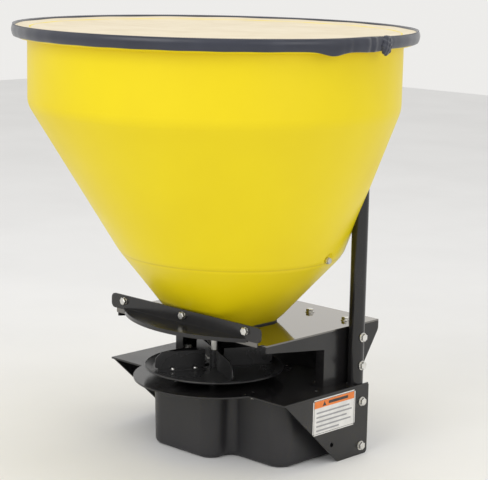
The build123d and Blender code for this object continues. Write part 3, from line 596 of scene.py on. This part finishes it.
lip.append(round_ring(hopper_high.z, 0, band_radius - wall + 0.003))
floor_rings = [
    round_ring(floor_height, throat_y, throat_bore),
    round_ring(hopper_low.z, throat_y, throat_bore),
    foot_ring(hopper_low.z, -foot_turn),
]
shell = skin_mesh("shell_rough", floor_rings + outer + lip + list(reversed(inner)), closed=True)

# Two blind sockets are moulded up into the cone's flanks for the uprights' ends.
socket_radius = 0.0195
socket_top = 0.521
upright_x = 0.2039


def flank_height(x, y):
    """The height at which the cone's wall passes over a point."""
    low, high = fold_height, crease_height
    for _ in range(30):
        middle = (low + high) / 2
        part = (middle - fold_height) / (crease_height - fold_height)
        radius = fold_radius + (band_radius - fold_radius) * part - wall / 2
        if math.hypot(x, y - fold_center * (1 - part)) > radius:
            low = middle
        else:
            high = middle
    return high


def socket_rings(side_sign):
    """A round post from the cone's wall to its domed top."""
    turns = [2 * math.pi * step / 48 for step in range(48)]
    spots = [(side_sign * upright_x + socket_radius * math.cos(turn), tube_y + socket_radius * math.sin(turn))
             for turn in turns]
    rings = [[Vector((x, y, flank_height(x, y))) for x, y in spots]]
    for drop, inset in ((0.006, 0.0), (0.003, 0.0008), (0.0008, 0.003), (0.0, 0.007), (0.0, 0.0192)):
        share = 1 - inset / socket_radius
        rings.append([Vector((side_sign * upright_x + (x - side_sign * upright_x) * share,
                              tube_y + (y - tube_y) * share, socket_top - drop)) for x, y in spots])
    return rings


def hollow(piece, centers, radius):
    """Take round dimples out of a shell, and give back the cut shell as a new mesh."""
    ball_mesh = bpy.data.meshes.new("dimple")
    form = bmesh.new()
    for center in centers:
        bmesh.ops.create_uvsphere(form, u_segments=48, v_segments=32, radius=radius,
                                  matrix=Matrix.Translation(center) @ Matrix.Rotation(math.pi / 2, 4, "Y"))
    form.to_mesh(ball_mesh)
    form.free()
    ball = bpy.data.objects.new("dimple", ball_mesh)
    bpy.context.scene.collection.objects.link(ball)
    cut = piece.modifiers.new("dimple", "BOOLEAN")
    cut.operation = "DIFFERENCE"
    cut.solver = "EXACT"
    cut.object = ball
    bpy.context.view_layer.update()
    mesh = bpy.data.meshes.new_from_object(piece.evaluated_get(bpy.context.evaluated_depsgraph_get()))
    bpy.data.objects.remove(ball)
    bpy.data.objects.remove(piece)
    return mesh


dimple_y = 0.081
dimple_z = 0.367
dimple_radius = 0.015
dimple_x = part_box("baffle_rod")[1].x - 0.009 + dimple_radius
shell_mesh = hollow(shell, [(side * dimple_x, dimple_y, dimple_z) for side in (-1, 1)], dimple_radius)
form = bmesh.new()
form.from_mesh(shell_mesh)
for side in (-1, 1):
    post = skin_mesh("post", socket_rings(side))
    form.from_mesh(post.data)
    bpy.data.objects.remove(post)
bmesh.ops.recalc_face_normals(form, faces=form.faces)
for face in form.faces:
    face.smooth = True
for edge in form.edges:
    edge.smooth = len(edge.link_faces) == 2 and edge.calc_face_angle(0.0) < math.radians(32)
form.to_mesh(shell_mesh)
form.free()
shell_mesh.name = "hopper_shell"
hopper_shell = bpy.data.objects.new("hopper_shell", shell_mesh)
bpy.context.scene.collection.objects.link(hopper_shell)

hopper_yellow, tree, shader = new_material("hopper_yellow")
cloud = object_noise(tree, 3.5, detail=3.0)
grain = object_noise(tree, 900.0, detail=2.0)
tone = blend_colors(tree, spread(tree, cloud, 0.0, 1.0), (0.84, 0.67, 0.003), (0.80, 0.625, 0.003))
place = tree.nodes.new("ShaderNodeTexCoord").outputs["Object"]
height = tree.nodes.new("ShaderNodeSeparateXYZ")
tree.links.new(place, height.inputs[0])
fold_line = tree.nodes.new("ShaderNodeMath")
fold_line.operation = "COMPARE"
fold_line.inputs[1].default_value = fold_height
fold_line.inputs[2].default_value = 0.0016
tree.links.new(height.outputs["Z"], fold_line.inputs[0])
faint = tree.nodes.new("ShaderNodeMath")
faint.operation = "MULTIPLY"
faint.inputs[1].default_value = 0.45
tree.links.new(fold_line.outputs[0], faint.inputs[0])
tone = blend_colors(tree, faint.outputs[0], tone, (0.62, 0.46, 0.01))
tree.links.new(tone, shader.inputs["Base Color"])
tree.links.new(spread(tree, cloud, 0.34, 0.44), shader.inputs["Roughness"])
shader.inputs["Specular IOR Level"].default_value = 0.3
roughen(tree, shader, grain, 0.0001, 0.3)
hopper_shell.data.materials.clear()
hopper_shell.data.materials.append(hopper_yellow)
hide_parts("hopper")
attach(hopper_shell, "frame")

# ---------------------------------------------------------------- elastic hem
# A wide dark elastic binding sewn round the cover's edge. It grips under the lip, gathers where its
# two ends meet, and the ends are knotted together there.

hem_low, hem_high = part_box("cover_hem")
hem_radius = hem_high.x
hem_sides = 1080
gather_turn = math.radians(-1.0)
gather_width = math.radians(7.5)
knot_turn = math.radians(6.0)


def bell(value, middle, spread_width):
    return math.exp(-((value - middle) / spread_width) ** 2)


def hem_ring(turn):
    """The hem's section at a turn: a soft band, rolled over at the top and puckered at the gather."""
    angle = (turn + math.pi) % (2 * math.pi) - math.pi
    bunch = bell(angle, gather_turn, gather_width)
    pucker = bunch * (0.5 + 0.5 * math.sin(angle * 74 + 1.6 * math.sin(angle * 41)))
    ripple = 0.0002 * math.sin(angle * 23) + 0.00012 * math.sin(angle * 57 + 1.0)
    sag = 0.0075 * bell(angle, math.radians(-13.5), math.radians(4.0)) + 0.0035 * bunch
    bottom = hem_low.z - sag - 0.0002 * math.sin(angle * 31)
    top = hem_high.z + 0.0012 * bunch
    inner = hem_radius - 0.0048
    outer = hem_radius + 0.0004 + ripple + 0.0022 * pucker
    height = top - bottom
    shift = 0.0026 * bunch * math.sin(angle * 66 + 1.0)
    return [
        (inner - 0.0015, top - 0.0042), (inner - 0.0004, top - 0.0014),
        (inner + 0.0010, top - 0.0003), (outer - 0.0030, top - 0.0008),
        (outer - 0.0012, top - 0.0034), (outer - 0.0003, top - 0.0066 - shift),
        (outer, bottom + height * 0.55 + shift), (outer - 0.0006, bottom + height * 0.36),
        (outer - 0.0015, bottom + height * 0.2), (outer - 0.0025, bottom + 0.0020),
        (outer - 0.0034, bottom + 0.0004), (inner + 0.0006, bottom + 0.0006),
        (inner + 0.0002, bottom + 0.003), (inner, bottom + height * 0.6),
    ]


sections = [hem_ring(2 * math.pi * step / hem_sides) for step in range(hem_sides)]
hem_rings = []
for place_in_section in range(len(sections[0])):
    hem_rings.append([
        Vector((section[place_in_section][0] * math.cos(2 * math.pi * step / hem_sides),
                section[place_in_section][0] * math.sin(2 * math.pi * step / hem_sides),
                section[place_in_section][1]))
        for step, section in enumerate(sections)
    ])
hem_band = skin_mesh("hem_band", list(reversed(hem_rings)), closed=True)


def cloth_material(name, color, worn, rough, sheen, weave_scale, weave_depth):
    """Woven cloth: crossed threads, uneven tone and a soft sheen."""
    material, tree, shader = new_material(name)
    uneven = object_noise(tree, 14.0, detail=5.0)
    threads = object_noise(tree, weave_scale, detail=2.0, stretch=(1.0, 1.0, 0.35))
    tree.links.new(blend_colors(tree, spread(tree, uneven, 0.0, 1.0), color, worn),
                   shader.inputs["Base Color"])
    tree.links.new(spread(tree, uneven, rough, rough + 0.12), shader.inputs["Roughness"])
    shader.inputs["Sheen Weight"].default_value = sheen
    shader.inputs["Sheen Roughness"].default_value = 0.45
    roughen(tree, shader, threads, weave_depth, 0.5)
    return material


hem_elastic = cloth_material("hem_elastic", (0.017, 0.02, 0.034), (0.028, 0.032, 0.05),
                             0.30, 0.25, 900.0, 0.0002)
hem_band.data.materials.append(hem_elastic)
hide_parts("cover_hem")
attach(hem_band, "cover")

knot_mesh = bmesh.new()
knot_center = Vector(((hem_radius - 0.001) * math.cos(knot_turn), (hem_radius - 0.001) * math.sin(knot_turn),
                      hem_high.z - 0.014))
bmesh.ops.create_icosphere(knot_mesh, subdivisions=5, radius=1.0)
for vertex in knot_mesh.verts:
    way = vertex.co.copy()
    fold = 0.09 * math.sin(way.z * 11 + way.y * 5) + 0.06 * math.sin(way.y * 13 - way.z * 4)
    size = 1 + fold * (1 - abs(way.z) * 0.4)
    across = way.y * 0.0155 * size * (1 - 0.18 * max(0.0, -way.z))
    out = max(-0.0045, way.x * 0.0062 * size)
    along = Vector((-math.sin(knot_turn), math.cos(knot_turn), 0.0))
    facing = Vector((math.cos(knot_turn), math.sin(knot_turn), 0.0))
    rise = way.z * 0.0165 * (1 + fold * 0.6)
    vertex.co = knot_center + along * across + facing * out + Vector((0, 0, rise))
knot_body = bpy.data.meshes.new("hem_knot")
for face in knot_mesh.faces:
    face.smooth = True
knot_mesh.to_mesh(knot_body)
knot_mesh.free()
hem_knot = bpy.data.objects.new("hem_knot", knot_body)
bpy.context.scene.collection.objects.link(hem_knot)
knot_body.materials.append(hem_elastic)
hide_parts("cover_tie")
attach(hem_knot, "cover")

# ---------------------------------------------------------------- hem stitches
# A row of short grey stitches holds the binding to the cloth, just inside the rim. The thread is spun
# polyester, sewn by machine.


def stitch_tree(material):
    """A short rounded stitch on each point, lying along the point's direction."""
    tree = Tree("stitch")
    for name in ("Stitch Length", "Thread Radius"):
        tree.size(name)
    points = tree.start()
    sizes = tree.entry.outputs
    bead = tree.add("GeometryNodeMeshUVSphere", Segments=8, Rings=6, Radius=1.0)
    half = tree.math("MULTIPLY", sizes["Stitch Length"], 0.5)
    shape = tree.add("ShaderNodeCombineXYZ", X=sizes["Thread Radius"], Y=sizes["Thread Radius"], Z=half)
    thread = tree.add("GeometryNodeTransform", Geometry=bead.outputs["Mesh"], Scale=shape.outputs[0])
    tree.end(tree.scatter(points, thread.outputs[0]), material)
    return tree


thread_material = cloth_material("stitch_thread", (0.05, 0.055, 0.08), (0.07, 0.075, 0.1),
                                 0.5, 0.1, 2000.0, 0.00005)
stitch_count = 520
stitch_radius = hem_radius - 0.0022
stitch_spots = []
stitch_ways = []
for step in range(stitch_count):
    turn = 2 * math.pi * step / stitch_count
    bunch = bell((turn + math.pi) % (2 * math.pi) - math.pi, gather_turn, gather_width)
    stitch_spots.append((stitch_radius * math.cos(turn), stitch_radius * math.sin(turn),
                         hem_high.z - 0.0002 + 0.0012 * bunch))
    stitch_ways.append((-math.sin(turn), math.cos(turn), 0.0))
stitches = stitch_tree(thread_material).make("hem_stitches", stitch_spots, stitch_ways, Stitch_Length=0.0030,
                                             Thread_Radius=0.00045)
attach(stitches, "cover")

# ---------------------------------------------------------------- cover
# A disc of coated cream cloth, pulled flat over the mouth by the hem. It hangs a few millimetres in
# the middle and puckers towards the knot.

cover_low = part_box("cover")[0]
cloth_radius = hem_radius - 0.0052
cloth_height = cover_low.z + 0.0022
cloth_rows = 64
cloth_columns = 256
sag_limit = 0.006
cloth_points = [Vector((0.0, 0.0, cloth_height))]
for row in range(1, cloth_rows + 1):
    for column in range(cloth_columns):
        turn = 2 * math.pi * column / cloth_columns
        radius = cloth_radius * row / cloth_rows
        angle = (turn + math.pi) % (2 * math.pi) - math.pi
        edge = max(0.0, (row / cloth_rows - 0.72) / 0.28)
        pucker = 0.0011 * edge ** 1.5 * bell(angle, gather_turn, math.radians(11)) * math.sin(angle * 95)
        ripple = 0.0003 * edge * math.sin(angle * 17 + 0.8)
        cloth_points.append(Vector((radius * math.cos(turn), radius * math.sin(turn),
                                    cloth_height + pucker + ripple)))
cloth_faces = [(0, 1 + column, 1 + (column + 1) % cloth_columns) for column in range(cloth_columns)]
for row in range(cloth_rows - 1):
    for column in range(cloth_columns):
        after = (column + 1) % cloth_columns
        first = 1 + row * cloth_columns
        second = first + cloth_columns
        cloth_faces.append((first + column, second + column, second + after, first + after))
cloth_mesh = bpy.data.meshes.new("cover_sheet")
cloth_mesh.from_pydata(cloth_points, [], cloth_faces)
cloth_mesh.polygons.foreach_set("use_smooth", [True] * len(cloth_faces))
cover_sheet = bpy.data.objects.new("cover_sheet", cloth_mesh)
bpy.context.scene.collection.objects.link(cover_sheet)


def hang(piece, pinned, steps, limit):
    """Let the cloth hang from its pinned edge, and keep each point within a limit of where it began."""
    group = piece.vertex_groups.new(name="edge")
    group.add(pinned, 1.0, "REPLACE")
    begun = [vertex.co.copy() for vertex in piece.data.vertices]
    cloth = piece.modifiers.new("cloth", "CLOTH")
    cloth.settings.vertex_group_mass = "edge"
    cloth.settings.quality = 6
    cloth.settings.mass = 0.35
    cloth.settings.tension_stiffness = 60
    cloth.settings.compression_stiffness = 60
    cloth.settings.shear_stiffness = 20
    cloth.settings.bending_stiffness = 4
    cloth.collision_settings.use_collision = False
    cloth.point_cache.frame_start = 1
    cloth.point_cache.frame_end = steps
    for frame_number in range(1, steps + 1):
        bpy.context.scene.frame_set(frame_number)
    settled = piece.evaluated_get(bpy.context.evaluated_depsgraph_get()).data
    ends = [vertex.co.copy() for vertex in settled.vertices]
    piece.modifiers.clear()
    for vertex, start, end in zip(piece.data.vertices, begun, ends):
        move = end - start
        vertex.co = start + (move if move.length < limit else move.normalized() * limit)
    piece.vertex_groups.clear()
    bpy.context.scene.frame_set(1)


edge_rows = 3
first_pinned = 1 + (cloth_rows - edge_rows) * cloth_columns
hang(cover_sheet, list(range(first_pinned, len(cloth_points))), 14, sag_limit)
cover_cloth = cloth_material("cover_cloth", (0.72, 0.62, 0.42), (0.66, 0.56, 0.37),
                             0.42, 0.15, 1300.0, 0.0002)
cover_sheet.data.materials.append(cover_cloth)
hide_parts("cover")
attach(cover_sheet, "cover")

# ---------------------------------------------------------------- studio
# A pale seamless floor, a large soft key from the front left and a pale surround.

floor_mesh = bpy.data.meshes.new("studio_floor")
reach = 6.0
floor_mesh.from_pydata([(-reach, -reach, 0), (reach, -reach, 0), (reach, reach, 0), (-reach, reach, 0)], [],
                       [(0, 1, 2, 3)])
studio_floor = bpy.data.objects.new("studio_floor", floor_mesh)
bpy.context.scene.collection.objects.link(studio_floor)
floor_paper, tree, shader = new_material("floor_paper")
mottle = spread(tree, object_noise(tree, 2.0), 0, 1)
tree.links.new(blend_colors(tree, mottle, (0.8, 0.8, 0.8), (0.77, 0.77, 0.77)), shader.inputs["Base Color"])
shader.inputs["Roughness"].default_value = 0.8
floor_mesh.materials.append(floor_paper)


def soft_light(name, place, aim, size, power):
    """A square soft light at a place, turned to its aim."""
    data = bpy.data.lights.new(name, "AREA")
    data.size = size
    data.energy = power
    lamp = bpy.data.objects.new(name, data)
    bpy.context.scene.collection.objects.link(lamp)
    lamp.location = place
    lamp.rotation_euler = (Vector(aim) - Vector(place)).to_track_quat("-Z", "Y").to_euler()


soft_light("key_light", (0.4, -3.2, 2.6), (0, 0, 0.45), 2.2, 42)
soft_light("side_light", (3.4, -0.2, 1.8), (0, 0, 0.4), 1.6, 16)
soft_light("top_light", (0.0, 0.6, 3.4), (0, 0, 0.4), 2.4, 22)
world = bpy.data.worlds.new("studio")
bpy.context.scene.world = world
world.use_nodes = True
world.node_tree.nodes["Background"].inputs["Color"].default_value = (1.0, 0.99, 0.97, 1.0)
world.node_tree.nodes["Background"].inputs["Strength"].default_value = 0.85
bpy.context.scene.view_settings.view_transform = "Standard"
